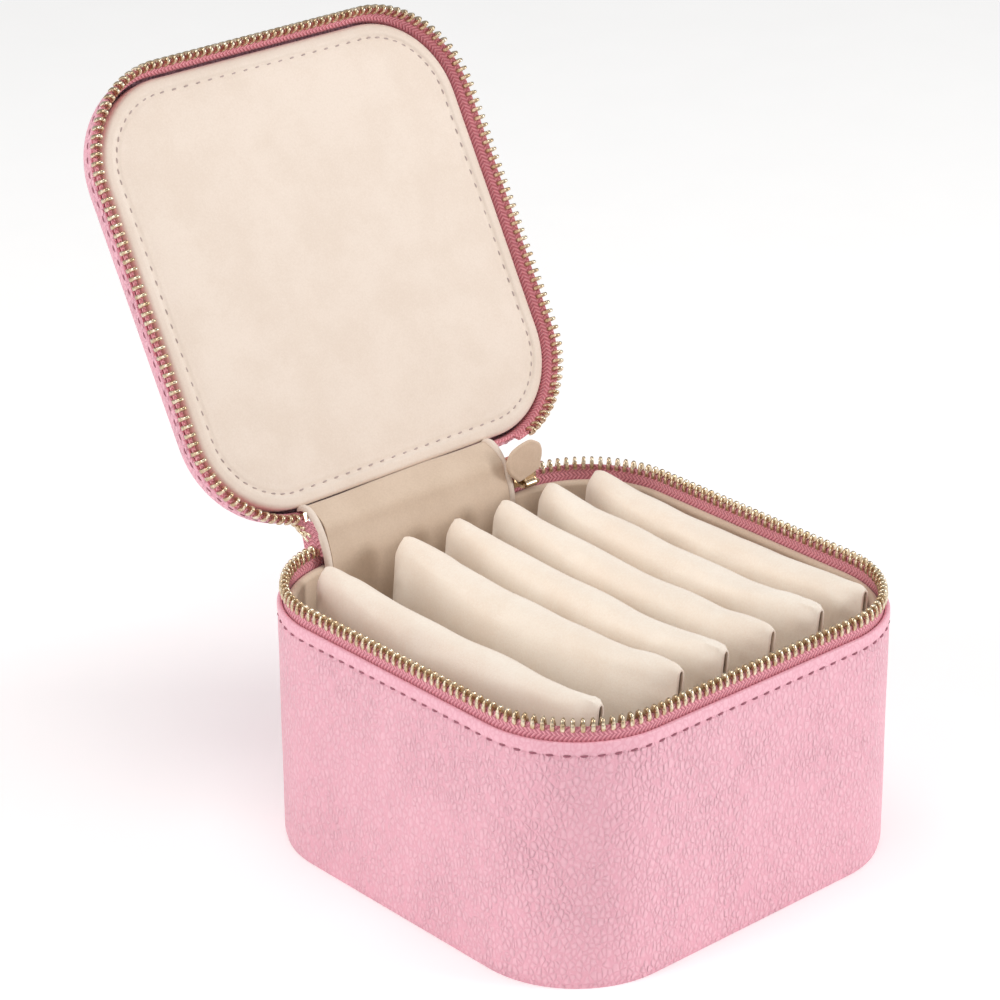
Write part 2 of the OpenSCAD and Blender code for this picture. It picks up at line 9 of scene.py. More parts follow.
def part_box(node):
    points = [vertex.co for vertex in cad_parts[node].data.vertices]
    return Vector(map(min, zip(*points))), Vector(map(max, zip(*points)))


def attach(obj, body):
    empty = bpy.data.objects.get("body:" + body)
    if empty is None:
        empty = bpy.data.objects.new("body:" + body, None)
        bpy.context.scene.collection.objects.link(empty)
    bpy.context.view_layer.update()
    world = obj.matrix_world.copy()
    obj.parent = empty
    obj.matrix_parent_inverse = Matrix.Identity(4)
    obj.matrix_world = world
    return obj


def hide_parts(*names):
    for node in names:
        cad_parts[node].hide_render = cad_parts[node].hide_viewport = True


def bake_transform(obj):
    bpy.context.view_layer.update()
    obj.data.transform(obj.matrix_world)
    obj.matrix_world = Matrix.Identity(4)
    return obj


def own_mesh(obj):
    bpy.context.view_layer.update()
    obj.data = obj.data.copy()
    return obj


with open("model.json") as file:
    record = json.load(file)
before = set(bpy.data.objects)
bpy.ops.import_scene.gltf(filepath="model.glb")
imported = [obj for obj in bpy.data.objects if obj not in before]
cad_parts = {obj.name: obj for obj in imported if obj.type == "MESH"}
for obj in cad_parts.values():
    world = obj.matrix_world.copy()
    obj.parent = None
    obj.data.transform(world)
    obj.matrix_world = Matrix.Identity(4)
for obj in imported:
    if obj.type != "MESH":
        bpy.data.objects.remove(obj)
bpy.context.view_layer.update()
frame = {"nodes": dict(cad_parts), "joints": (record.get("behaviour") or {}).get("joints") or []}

# Everything is in metres, in the frame of the CAD model: +X right, +Y to the hinge, +Z up.
MM = 0.001
rng = np.random.default_rng(11)

# ---- Sizes, from the frame ----

case_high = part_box("base_leather")[1]
HALF_W, HALF_D, HEM_Z = case_high.x, case_high.y, case_high.z
CORNER_R = 30 * MM
SIDE_X = HALF_W - CORNER_R
SIDE_Y = HALF_D - CORNER_R

tape_low, tape_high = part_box("base_zip_tape")
teeth_low, teeth_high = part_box("base_zip_teeth")
ZIP_INSET = 1.9 * MM
ZIP_R = CORNER_R - ZIP_INSET
QUARTER = ZIP_R * math.pi / 2
ZIP_LENGTH = 4 * (SIDE_X + SIDE_Y) + 4 * QUARTER
TAPE_T = 0.8 * MM
TOOTH_PITCH = 2.4 * MM
TOOTH_MESH = 1.2 * MM
TOOTH_Z = teeth_low.z
ZIP_MID = teeth_high.z - TOOTH_MESH / 2

lining_low, lining_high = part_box("hinge_lining")
BINDING_W = 2.2 * MM
HINGE_LEFT = -lining_low.x + BINDING_W / 2
HINGE_RIGHT = lining_high.x + BINDING_W / 2
slider_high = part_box("slider_body")[1]
TEETH_BEGIN = HINGE_LEFT + BINDING_W / 2 + TOOTH_PITCH
SLIDER_ROOM = 4 * MM
TEETH_END = ZIP_LENGTH - slider_high.x - SLIDER_ROOM

# The lid's heights while it is closed, and its hinge
LID_HEM_Z = 2 * ZIP_MID - HEM_Z
LID_TOP_Z = LID_HEM_Z + 7 * MM
LID_INSET = 2 * MM
LID_EDGE_R = 5 * MM
LID_TAPE_INSET = 3.3 * MM
PAD_Z = LID_HEM_Z - 1.8 * MM
PAD_INSET = 5.1 * MM
PAD_BACK_Z = LID_HEM_Z + 4 * MM
lid_hinge = next(j for j in frame["joints"] if j["name"] == "lid_hinge")
HINGE = Vector(lid_hinge["pos_m"])
OPEN_ANGLE = -math.radians(lid_hinge["range_deg"][0])
OPENED = (
    Matrix.Translation(HINGE)
    @ Matrix.Rotation(OPEN_ANGLE, 4, Vector(lid_hinge["axis"]))
    @ Matrix.Translation(-HINGE)
)

# ---- Mesh helpers ----


def make(name, points, faces, uvs=None, sharp=35):
    """A smooth-shaded mesh object; uvs holds one (u, v) per vertex, in metres."""
    mesh = bpy.data.meshes.new(name)
    mesh.from_pydata([tuple(p) for p in points], [], [tuple(f) for f in faces])
    mesh.validate()
    if uvs is not None:
        layer = mesh.uv_layers.new(name="along")
        for loop in mesh.loops:
            layer.data[loop.index].uv = uvs[loop.vertex_index]
    mesh.shade_smooth()
    mesh.set_sharp_from_angle(angle=math.radians(sharp))
    obj = bpy.data.objects.new(name, mesh)
    bpy.context.scene.collection.objects.link(obj)
    return obj


def finish_piece(obj, body, material, slot, *nodes):
    """Dresses a piece, lets it ride on its body and lets it stand for CAD nodes."""
    obj.data.materials.clear()
    obj.data.materials.append(material)
    if body:
        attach(obj, body)
    if nodes:
        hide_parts(*nodes)
    return obj


def modify(obj, kind, **settings):
    """Adds a modifier."""
    modifier = obj.modifiers.new(kind.lower(), kind)
    for key, value in settings.items():
        setattr(modifier, key, value)
    return modifier


def outline(s):
    """The rim at a distance s along the zip from the middle of the back, anticlockwise.

    Gives the point on the rim's inner skeleton and the outward angle there; a point
    inset from the case's outline lies CORNER_R - inset from the skeleton.
    """
    s = s % ZIP_LENGTH
    centre = Vector((0, SIDE_Y))
    corners = [(-SIDE_X, SIDE_Y), (-SIDE_X, -SIDE_Y), (SIDE_X, -SIDE_Y), (SIDE_X, SIDE_Y)]
    runs = [SIDE_X, 2 * SIDE_Y, 2 * SIDE_X, 2 * SIDE_Y, SIDE_X]
    for k, run in enumerate(runs):
        angle = math.pi / 2 * (1 + k)
        if s <= run or k == 4:
            return centre + Vector((-math.sin(angle), math.cos(angle))) * s, angle
        s -= run
        centre = Vector(corners[k])
        if s <= QUARTER:
            return centre, angle + s / QUARTER * math.pi / 2
        s -= QUARTER


def on_rim(s, inset, z):
    centre, angle = outline(s)
    out = CORNER_R - inset
    return Vector((centre.x + out * math.cos(angle), centre.y + out * math.sin(angle), z))


def rim_matrix(s, inset, z):
    """Frame on the rim: +X outwards, +Y along the zip, +Z up."""
    angle = outline(s)[1]
    return Matrix.Translation(on_rim(s, inset, z)) @ Matrix.Rotation(angle, 4, "Z")


def sweep(name, profile, start=0.0, end=None, step=2 * MM, wobble=None):
    """Carries a flat profile of (inset, z) points along the rim, as a closed ring or a run."""
    ring = end is None
    end = ZIP_LENGTH if ring else end
    count = max(2, round((end - start) / step))
    places = [start + (end - start) * i / count for i in range(count + (0 if ring else 1))]
    across = [0.0]
    for a, b in zip(profile, profile[1:]):
        across.append(across[-1] + math.dist(a, b))
    points, uvs = [], []
    for s in places:
        for (inset, z), v in zip(profile, across):
            if wobble:
                inset, z = wobble(s, inset, z)
            points.append(on_rim(s, inset, z))
            uvs.append((s, v))
    n, faces = len(profile), []
    for i in range(len(places) if ring else len(places) - 1):
        a, b = i * n, (i + 1) % len(places) * n
        for k in range(n):
            m = (k + 1) % n
            faces.append((a + k, a + m, b + m, b + k))
    if not ring:
        faces.append(tuple(range(n))[::-1])
        faces.append(tuple(range(len(points) - n, len(points))))
    return make(name, points, faces, uvs)


def arc(cx, cy, r, a0, a1, steps=6):
    """Points of an arc in a profile, angles in degrees."""
    angles = [math.radians(a0 + (a1 - a0) * i / steps) for i in range(steps + 1)]
    return [(cx + r * math.cos(a), cy + r * math.sin(a)) for a in angles]


def repeat(name, template, matrices):
    """One mesh that holds a template (points, faces) at each of the matrices."""
    base = np.array([tuple(p) + (1.0,) for p in template[0]])
    points, faces = [], []
    for m in matrices:
        offset = len(points)
        points.extend((base @ np.array(m).T)[:, :3].tolist())
        faces.extend([tuple(i + offset for i in f) for f in template[1]])
    return make(name, points, faces, sharp=50)


def bridge(rings, cap_start=True):
    """Points and faces of a tube through rings of equal count, closed at its end."""
    n = len(rings[0])
    points = [p for ring in rings for p in ring]
    faces = []
    for i in range(len(rings) - 1):
        for k in range(n):
            m = (k + 1) % n
            faces.append((i * n + k, i * n + m, (i + 1) * n + m, (i + 1) * n + k))
    if cap_start:
        faces.append(tuple(range(n))[::-1])
    faces.append(tuple(range(len(points) - n, len(points))))
    return points, faces


def joined(*parts):
    """Several (points, faces) as one."""
    points, faces = [], []
    for p, f in parts:
        offset = len(points)
        points.extend(p)
        faces.extend([tuple(i + offset for i in face) for face in f])
    return points, faces


def smooth_step(x, low, high):
    t = np.clip((x - low) / (high - low), 0, 1)
    return t * t * (3 - 2 * t)


def wave(x, y, seed, size):
    """Smooth, even noise from -1 to 1 at a place, with features of about that size."""
    return noise.noise(Vector((x / size, y / size, seed * 7.31)))


# ---- Materials ----


class Material:
    """A node material, built by adding nodes whose inputs are values or other sockets."""

    def __init__(self, name):
        self.material = bpy.data.materials.new(name)
        self.material.use_nodes = True
        self.tree = self.material.node_tree
        self.tree.nodes.clear()

    def add(self, kind, inputs=None, **settings):
        node = self.tree.nodes.new("ShaderNode" + kind)
        for key, value in settings.items():
            setattr(node, key, value)
        for key, value in (inputs or {}).items():
            if isinstance(value, bpy.types.NodeSocket):
                self.tree.links.new(value, node.inputs[key])
            else:
                node.inputs[key].default_value = value
        return node

    def math(self, operation, a, b=0.0):
        return self.add("Math", {0: a, 1: b}, operation=operation).outputs[0]

    def place(self, stretch=(1, 1, 1)):
        """The object's own coordinates, in metres."""
        coordinates = self.add("TexCoord").outputs["Object"]
        return self.add("Mapping", {"Vector": coordinates, "Scale": stretch}).outputs[0]

    def noise(self, vector, size, detail=3.0, roughness=0.5):
        inputs = {"Vector": vector, "Scale": 1 / size, "Detail": detail, "Roughness": roughness}
        return self.add("TexNoise", inputs).outputs["Fac"]

    def remap(self, value, low, high, to_low=0.0, to_high=1.0):
        inputs = {"Value": value, 1: low, 2: high, 3: to_low, 4: to_high}
        return self.add("MapRange", inputs, interpolation_type="SMOOTHSTEP").outputs[0]

    def mix(self, factor, a, b):
        node = self.add("Mix", {0: factor, 6: a, 7: b}, data_type="RGBA")
        return node.outputs[2]

    def bump(self, height, depth, strength=1.0, normal=None):
        inputs = {"Height": height, "Distance": depth, "Strength": strength}
        if normal is not None:
            inputs["Normal"] = normal
        return self.add("Bump", inputs).outputs[0]

    def surface(self, **inputs):
        named = {key.replace("_", " "): value for key, value in inputs.items()}
        shader = self.add("BsdfPrincipled", named)
        self.add("OutputMaterial", {"Surface": shader.outputs[0]})
        return self.material


def srgb(r, g, b):
    """A colour given as 0 to 255 sRGB, as the linear colour that shaders use."""
    linear = [((c / 255 + 0.055) / 1.055) ** 2.4 if c > 10 else c / 255 / 12.92 for c in (r, g, b)]
    return (*linear, 1.0)


def leather(name, smooth_above=None):
    """Pebbled leather: rounded grains between fine creases, flatter above the stitch line."""
    m = Material(name)
    place = m.place((1, 1, 0.62))
    warp = m.add("TexNoise", {"Vector": place, "Scale": 1 / (2.6 * MM), "Detail": 2.0}).outputs["Color"]
    shifted = m.add("VectorMath", {0: warp, 1: (0.5, 0.5, 0.5)}, operation="SUBTRACT").outputs[0]
    scaled = m.add("VectorMath", {0: shifted, "Scale": 0.9 * MM}, operation="SCALE").outputs[0]
    bent = m.add("VectorMath", {0: place, 1: scaled}, operation="ADD").outputs[0]
    cells = {"Vector": bent, "Scale": 1 / (1.35 * MM)}
    round_cells = m.add("TexVoronoi", dict(cells, Smoothness=0.35), feature="SMOOTH_F1").outputs["Distance"]
    grain = m.remap(round_cells, 0.15, 0.75, 1.0, 0.0)
    edge = m.add("TexVoronoi", cells, feature="DISTANCE_TO_EDGE").outputs["Distance"]
    crease = m.remap(edge, 0.0, 0.24)
    small = {"Vector": bent, "Scale": 1 / (0.7 * MM), "Smoothness": 0.5}
    fine = m.remap(m.add("TexVoronoi", small, feature="SMOOTH_F1").outputs["Distance"], 0.1, 0.8, 1.0, 0.0)
    height = m.math("ADD", m.math("MULTIPLY", grain, 0.5), m.math("MULTIPLY", crease, 0.3))
    height = m.math("ADD", height, m.math("MULTIPLY", fine, 0.2))
    strength = m.remap(m.noise(place, 15 * MM, 2.0), 0.3, 0.7, 0.6, 1.0)
    if smooth_above is not None:
        z = m.add("SeparateXYZ", {0: m.place()}).outputs[2]
        pressed = m.remap(z, smooth_above, smooth_above + 1.2 * MM, 1.0, 0.15)
        strength = m.math("MULTIPLY", strength, pressed)
    height = m.math("MULTIPLY", height, strength)
    normal = m.bump(height, 0.62 * MM)
    pores = m.noise(place, 0.22 * MM, 2.0)
    normal = m.bump(pores, 0.02 * MM, 0.5, normal)
    # Painted shade: the colour is darker down in the creases and lighter on the grain tops, as light and
    # shade on the pebbles.
    painted_shade_tone = m.mix(m.remap(crease, 0.0, 0.9, 0.3, 1.0), srgb(233, 167, 183), srgb(243, 188, 201))
    cloud = m.remap(m.noise(place, 40 * MM, 2.0), 0.3, 0.7)
    colour = m.mix(m.math("MULTIPLY", cloud, 0.18), painted_shade_tone, srgb(236, 170, 186))
    rough = m.remap(height, 0.0, 0.9, 0.5, 0.38)
    return m.surface(Base_Color=colour, Roughness=rough, Normal=normal, Specular_IOR_Level=0.45)


def tape_weave(name, low, high):
    """Herringbone zip tape: bands of slanted ribs that turn from band to band."""
    m = Material(name)
    uv = m.add("SeparateXYZ", {0: m.add("UVMap", uv_map="along").outputs[0]})
    u, v = uv.outputs[0], uv.outputs[1]
    band = m.math("FLOOR", m.math("DIVIDE", v, 1.25 * MM))
    turn = m.math("SUBTRACT", m.math("MULTIPLY", m.math("MODULO", band, 2.0), 2.0), 1.0)
    slant = m.math("ADD", u, m.math("MULTIPLY", v, m.math("MULTIPLY", turn, 0.8)))
    thread = m.math("SINE", m.math("MULTIPLY", slant, 2 * math.pi / (1.15 * MM)))
    height = m.remap(thread, -0.9, 0.7)
    place = m.place()
    fuzz = m.noise(place, 0.2 * MM, 2.0)
    normal = m.bump(fuzz, 0.03 * MM, 0.6, m.bump(height, 0.22 * MM))
    # Painted shade and highlight: the grooves between the ribs are coloured darker and the rib crests
    # lighter, following the weave's height.
    painted_shade_tone = m.mix(height, low, high)
    colour = m.mix(m.math("MULTIPLY", fuzz, 0.3), painted_shade_tone, srgb(242, 168, 178))
    return m.surface(Base_Color=colour, Roughness=0.72, Normal=normal, Sheen_Weight=0.25,
                     Specular_IOR_Level=0.3)


def suede(name, light, dark, depth=0.05):
    """Microsuede: a fine nap with soft clouds where it is brushed one way or the other."""
    m = Material(name)
    place = m.place()
    cloud = m.remap(m.noise(place, 16 * MM, 4.0, 0.6), 0.3, 0.7)
    nap = m.noise(place, 0.55 * MM, 4.0, 0.65)
    fibre = m.noise(m.place((1, 1, 2.5)), 0.16 * MM, 2.0)
    factor = m.math("ADD", m.math("MULTIPLY", cloud, 0.25), m.math("MULTIPLY", nap, 0.75))
    colour = m.mix(m.remap(factor, 0.2, 0.8), dark, light)
    height = m.math("ADD", m.math("MULTIPLY", nap, 0.6), m.math("MULTIPLY", fibre, 0.4))
    normal = m.bump(height, depth * MM, 0.8)
    return m.surface(Base_Color=colour, Roughness=0.93, Normal=normal, Sheen_Weight=0.35,
                     Sheen_Roughness=0.45, Specular_IOR_Level=0.2)


def thread(name, colour):
    """Twisted sewing thread."""
    m = Material(name)
    twist = {"Vector": m.place((1, 1, 1.8)), "Scale": 1 / (1.1 * MM), "Distortion": 1.5}
    ply = m.add("TexWave", twist, bands_direction="DIAGONAL").outputs["Fac"]
    # Painted shade: the twist's grooves are coloured darker, down to 0.6 of the thread's colour, and the
    # crests keep the full colour.
    painted_shade_tone = m.mix(ply, tuple(c * 0.6 for c in colour[:3]) + (1.0,), colour)
    normal = m.bump(ply, 0.06 * MM)
    return m.surface(Base_Color=painted_shade_tone, Roughness=0.7, Normal=normal, Sheen_Weight=0.2)


def gold(name):
    """Pale gold plating with faint polishing marks."""
    m = Material(name)
    place = m.place()
    wear = m.noise(place, 1.4 * MM, 3.0)
    marks = m.noise(m.place((1, 1, 6)), 0.3 * MM, 2.0)
    colour = m.mix(m.remap(wear, 0.35, 0.7), srgb(196, 170, 136), srgb(240, 226, 202))
    rough = m.remap(marks, 0.3, 0.7, 0.2, 0.34)
    normal = m.bump(marks, 0.01 * MM, 0.4)
    return m.surface(Base_Color=colour, Metallic=1.0, Roughness=rough, Normal=normal)


def plain(name, light, dark, size, rough):
    """Board and foam inside the walls: a fine mottled surface."""
    m = Material(name)
    place = m.place()
    speck = m.noise(place, size, 4.0, 0.6)
    colour = m.mix(m.remap(speck, 0.35, 0.65), dark, light)
    return m.surface(Base_Color=colour, Roughness=rough, Normal=m.bump(speck, size * 0.1))


LEATHER = leather("base_leather_finish", HEM_Z - 3.9 * MM)
LID_LEATHER = leather("lid_leather_finish")
TAPE = tape_weave("zip_tape_finish", srgb(204, 116, 132), srgb(246, 168, 180))
# Painted light: the lid's tape is the same tape as the base's, coloured lighter to lift it out of the shade
# it sits in.
LID_TAPE_LIGHTENED = tape_weave("lid_tape_lightened_finish", srgb(218, 116, 130), srgb(252, 168, 178))
CREAM = suede("cream_suede_finish", srgb(242, 227, 214), srgb(233, 216, 201))
POUCH = suede("pouch_suede_finish", srgb(253, 243, 230), srgb(246, 231, 215), 0.1)
BEIGE = suede("beige_suede_finish", srgb(224, 202, 181), srgb(211, 188, 166))
TAB_SUEDE = suede("tab_suede_finish", srgb(220, 196, 174), srgb(207, 182, 160), 0.04)
MAUVE = thread("mauve_thread_finish", srgb(182, 108, 126))
PAD_THREAD = thread("pad_thread_finish", srgb(212, 190, 184))
GOLD = gold("pale_gold_finish")
BOARD = plain("board_finish", srgb(168, 160, 150), srgb(146, 138, 128), 0.8 * MM, 0.9)
FOAM = plain("foam_finish", srgb(236, 232, 222), srgb(214, 208, 196), 0.5 * MM, 0.95)

# ---- Base: bottom, leather, stitches ----

LEATHER_T = 1.4 * MM
HEM_STITCH_Z = HEM_Z - 3.5 * MM


def leather_wobble(s, inset, z):
    """Hand-made leather isn't flat: the wall swells and sinks a little."""
    share = smooth_step(z, 4 * MM, 20 * MM) * (1 - smooth_step(z, HEM_Z - 12 * MM, HEM_Z - 5 * MM))
    return inset + 0.22 * MM * wave(s, z, 3, 26 * MM) * float(share) + 0.03 * MM * wave(s, z, 5, 5 * MM), z


def base_leather():
    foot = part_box("base_leather")[0].z
    lip = LEATHER_T / 2
    profile = [(0.9 * MM, foot), (0.35 * MM, foot + 0.05 * MM), (0.08 * MM, foot + 0.4 * MM)]
    profile += [(0.0, foot + 1.1 * MM)]
    profile += [(0.0, foot + (HEM_STITCH_Z - foot) * k / 12) for k in range(1, 12)]
    profile += [(0.02 * MM, HEM_STITCH_Z - 1.0 * MM), (0.16 * MM, HEM_STITCH_Z - 0.45 * MM)]
    profile += [(0.34 * MM, HEM_STITCH_Z), (0.16 * MM, HEM_STITCH_Z + 0.45 * MM)]
    profile += [(-0.06 * MM, HEM_STITCH_Z + 1.0 * MM), (-0.14 * MM, HEM_STITCH_Z + 1.8 * MM)]
    profile += arc(lip - 0.04 * MM, HEM_Z - lip, lip + 0.04 * MM, 170, 0, 9)
    profile += [(LEATHER_T, HEM_Z - 4 * MM), (LEATHER_T, foot)]
    obj = sweep("base_leather_wall", profile, step=1.6 * MM, wobble=leather_wobble)
    return finish_piece(obj, "base", LEATHER, "pink_leather", "base_leather")


def stitch_template(length, thick, rise):
    """A stitch along +Y that comes up out of one hole and goes down into the next; +X out."""
    rings = []
    steps = 8
    for i in range(steps + 1):
        t = -1 + 2 * i / steps
        centre = rise * (1 - t * t) - 0.3 * thick * abs(t) ** 3
        radius = thick / 2 * (1 - 0.35 * t ** 4)
        ring = []
        for k in range(8):
            a = 2 * math.pi * k / 8
            x = centre + radius * 0.8 * math.cos(a)
            ring.append(Vector((x, t * length / 2, radius * math.sin(a))))
        rings.append(ring)
    return bridge(rings)


STITCHES = round(ZIP_LENGTH / (4.0 * MM))
STITCH_PITCH = ZIP_LENGTH / STITCHES


def stitch_places():
    """Distances along the rim, a pitch apart, that go once round it."""
    return [STITCH_PITCH * (i + 0.5) for i in range(STITCHES)]


def base_stitching():
    template = stitch_template(1.9 * MM, 0.58 * MM, 0.16 * MM)
    sunk = 0.22 * MM
    tilt = Matrix.Rotation(math.radians(5), 4, "X")
    places = [rim_matrix(s, sunk, HEM_STITCH_Z) @ tilt for s in stitch_places()]
    obj = repeat("base_hem_stitches", template, places)
    return finish_piece(obj, "base", MAUVE, "thread_mauve", "base_stitching")


# ---- Zip ----


def tooth_template():
    """A moulded tooth standing on +Z: two legs that grip the tape, shoulders and a head."""

    def ring(cx, z, rx, ry, count=10):
        points = []
        for k in range(count):
            a = 2 * math.pi * k / count
            c, s = math.cos(a), math.sin(a)
            square = 0.62
            x = cx + rx * math.copysign(abs(c) ** square, c)
            y = ry * math.copysign(abs(s) ** square, s)
            points.append(Vector((x * MM, y * MM, z * MM)))
        return points

    legs = []
    for side in (-1, 1):
        levels = [(0.0, 0.78, 0.34, 0.52), (0.12, 0.86, 0.40, 0.60), (0.9, 0.90, 0.44, 0.60),
                  (1.7, 0.80, 0.44, 0.54), (2.0, 0.70, 0.38, 0.46)]
        legs.append(bridge([ring(side * cx, z, rx, ry) for z, cx, rx, ry in levels]))
    levels = [(1.35, 0.90, 0.44), (1.6, 1.18, 0.54), (2.0, 1.22, 0.58), (2.45, 1.08, 0.52),
              (2.85, 0.92, 0.50), (3.15, 0.70, 0.44), (3.35, 0.40, 0.30)]
    head = bridge([ring(0, z, rx, ry) for z, rx, ry in levels])
    return joined(*legs, head)


TOOTH = tooth_template()
UPSIDE_DOWN = Matrix.Scale(-1, 4, Vector((0, 0, 1)))


def tooth_places(offset):
    count = math.floor((TEETH_END - TEETH_BEGIN - offset) / TOOTH_PITCH + 1e-6)
    return [TEETH_BEGIN + offset + TOOTH_PITCH * i for i in range(count + 1)]


def set_tooth(s, z):
    """A tooth's place on the rim, each turned by its own small amount."""
    turn, lean = rng.normal(0, 0.7, 2)
    skew = Matrix.Rotation(math.radians(turn), 4, "Z") @ Matrix.Rotation(math.radians(lean), 4, "X")
    return rim_matrix(s, ZIP_INSET, z) @ skew


def base_teeth():
    places = [set_tooth(s, TOOTH_Z) for s in tooth_places(0)]
    obj = repeat("base_zip_row", TOOTH, places)
    return finish_piece(obj, "base", GOLD, "gold_metal", "base_zip_teeth")


def lid_teeth():
    level = 2 * ZIP_MID - TOOTH_Z
    places = [OPENED @ set_tooth(s, level) @ UPSIDE_DOWN for s in tooth_places(TOOTH_PITCH / 2)]
    obj = repeat("lid_zip_row", TOOTH, places)
    obj.data.flip_normals()
    return finish_piece(obj, "lid", GOLD, "gold_metal", "lid_zip_teeth")


TAPE_STEP = 1.5 * MM


def tape_profile(points):
    """A tape of even thickness along (inset, z) points, with a round corded edge at the last."""
    outer = [(x - TAPE_T / 2, z) for x, z in points[:-1]]
    inner = [(x + TAPE_T / 2, z) for x, z in points[:-1]]
    cord_r = TAPE_T * 0.55
    x, z = points[-1]
    side = 1 if z > points[-2][1] else -1
    top = [(x + cord_r * math.cos(a), z + side * cord_r * math.sin(a))
           for a in (math.pi, math.pi * 0.75, math.pi * 0.5, math.pi * 0.25, 0)]
    return outer + top + inner[::-1]


def tape_wobble(s, inset, z):
    """The bare tape between hem and teeth isn't quite even."""
    free = max(0.0, 1 - abs(z - HEM_Z - 1.3 * MM) / (1.3 * MM))
    return inset + 0.07 * MM * wave(s, 0, 9, 9 * MM) * free, z


def base_tape():
    line = [(ZIP_INSET, tape_low.z), (ZIP_INSET, HEM_Z - 2 * MM), (ZIP_INSET, HEM_Z)]
    line += [(ZIP_INSET - 0.06 * MM, HEM_Z + k * 0.65 * MM) for k in range(1, 4)]
    line += [(ZIP_INSET, TOOTH_Z), (ZIP_INSET, tape_high.z - 0.5 * MM)]
    obj = sweep("base_tape", tape_profile(line), HINGE_LEFT, ZIP_LENGTH - HINGE_RIGHT,
                TAPE_STEP, wobble=tape_wobble)
    return finish_piece(obj, "base", TAPE, "tape_pink", "base_zip_tape")


def lid_tape():
    middle = LID_TAPE_INSET + TAPE_T / 2
    bare_z = 2 * ZIP_MID - TOOTH_Z
    low = [(middle, LID_HEM_Z + 2.2 * MM), (middle, LID_HEM_Z)]
    low += [(middle + (ZIP_INSET - middle) * t, LID_HEM_Z + (bare_z - LID_HEM_Z) * t)
            for t in (0.3, 0.7, 1.0)]
    low += [(ZIP_INSET, 2 * ZIP_MID - tape_high.z + 0.5 * MM)]
    row_end = ZIP_LENGTH - slider_high.x - 1 * MM
    obj = sweep("lid_tape", tape_profile(low), HINGE_LEFT, row_end, TAPE_STEP)
    end = [*low[:2], (middle - 0.5 * MM, LID_HEM_Z - 1.1 * MM)]
    tail = sweep("lid_tape_end", tape_profile(end), row_end, ZIP_LENGTH - HINGE_RIGHT - 1 * MM, TAPE_STEP)
    for piece in (obj, tail):
        piece.data.transform(OPENED)
    finish_piece(tail, "lid", LID_TAPE_LIGHTENED, "tape_pink")
    return finish_piece(obj, "lid", LID_TAPE_LIGHTENED, "tape_pink", "lid_zip_tape")


# ---- Lid: leather, pad and stitches ----


def plan_rings(insets):
    """Rings round the rim at growing insets; the middle is closed by scaled rings."""
    count = 180
    places = [ZIP_LENGTH * i / count for i in range(count)]
    rings = [[on_rim(s, inset, 0) for s in places] for inset in insets]
    last = rings[-1]
    for share in (0.86, 0.7, 0.54, 0.38, 0.22, 0.08):
        rings.append([Vector((p.x * share, p.y * share, 0)) for p in last])
    return rings


def dome(name, profile, height_of, cap_start):
    """A lid-wide surface: profile is (inset, z) from the rim inwards, then height_of fills it."""
    rings = plan_rings([inset for inset, _ in profile])
    for ring, (_, z) in zip(rings, profile):
        for p in ring:
            p.z = z
    for ring in rings[len(profile):]:
        for p in ring:
            p.z = profile[-1][1]
    for k, ring in enumerate(rings):
        for p in ring:
            p.z += height_of(p, k)
    points, faces = bridge(rings, cap_start)
    return make(name, points, faces, sharp=60)


LID_STITCH_Z = LID_HEM_Z + 1.2 * MM


def lid_leather():
    side_top = LID_TOP_Z - LID_EDGE_R
    profile = [(LID_INSET + 1.25 * MM, side_top + 0.2 * MM), (LID_INSET + 1.25 * MM, LID_HEM_Z + 0.5 * MM)]
    profile += arc(LID_INSET + 0.62 * MM, LID_HEM_Z + 0.55 * MM, 0.6 * MM, 0, -180, 6)
    profile += [(LID_INSET - 0.02 * MM, LID_HEM_Z + 0.8 * MM), (LID_INSET + 0.18 * MM, LID_STITCH_Z)]
    profile += [(LID_INSET + 0.02 * MM, LID_HEM_Z + 1.6 * MM)]
    profile += arc(LID_INSET + LID_EDGE_R, side_top, LID_EDGE_R, 180, 90, 10)
    profile += [(LID_INSET + LID_EDGE_R + k * 2.6 * MM, LID_TOP_Z) for k in range(1, 8)]

    def height(p, k):
        if k < 20:
            return 0.0
        edge = max(abs(p.x) / HALF_W, abs(p.y) / HALF_D)
        swell = 0.9 * MM * float(1 - smooth_step(edge, 0.3, 0.95))
        return swell + 0.12 * MM * wave(p.x, p.y, 2, 30 * MM)

    obj = dome("lid_leather_shell", profile, height, False)
    obj.data.transform(OPENED)
    return finish_piece(obj, "lid", LID_LEATHER, "pink_leather", "lid_leather")


PAD_STITCH_INSET = PAD_INSET + 4.2 * MM


